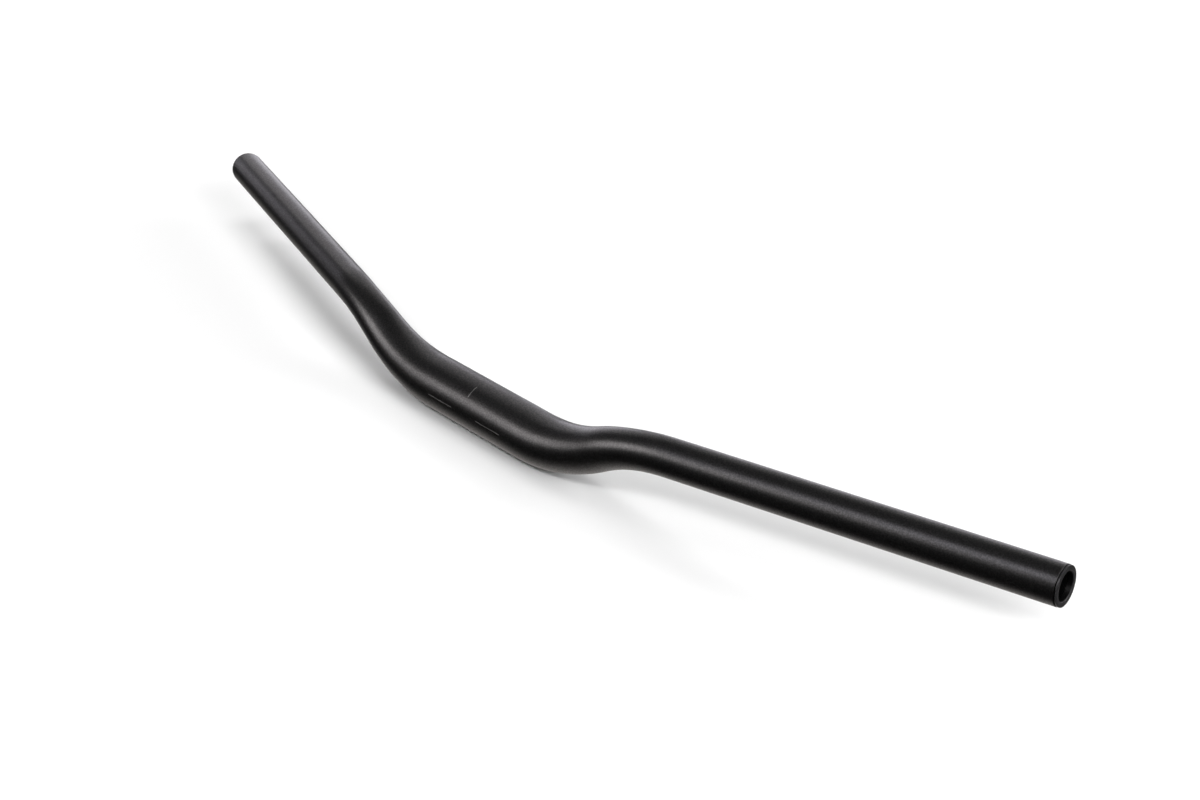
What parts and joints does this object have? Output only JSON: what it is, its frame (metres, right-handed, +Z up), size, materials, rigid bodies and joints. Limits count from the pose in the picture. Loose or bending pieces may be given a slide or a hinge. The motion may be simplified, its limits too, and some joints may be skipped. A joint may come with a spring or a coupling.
{
  "type": "riser handlebar",
  "caption": "Black bicycle riser handlebar: a butted tube, thick at the stem clamp, that climbs and tapers to straight swept-back grips with a ring in each open end.",
  "frame": {"origin": "centre of the stem clamp, on the bar's axis", "axes": "+X across the bicycle towards the rider's left hand, +Z up, the way the bar rises, and +Y back towards the rider, the way the grips sweep"},
  "size_m": [0.7654, 0.097, 0.052],
  "materials": {
    "bar": "fine blasted, black anodised, satin",
    "end_ring": "turned, black anodised, satin"
  },
  "bodies": {
    "root": {"bar": "bar", "end_ring_left": "end_ring", "end_ring_right": "end_ring"}
  },
  "joints": []
}
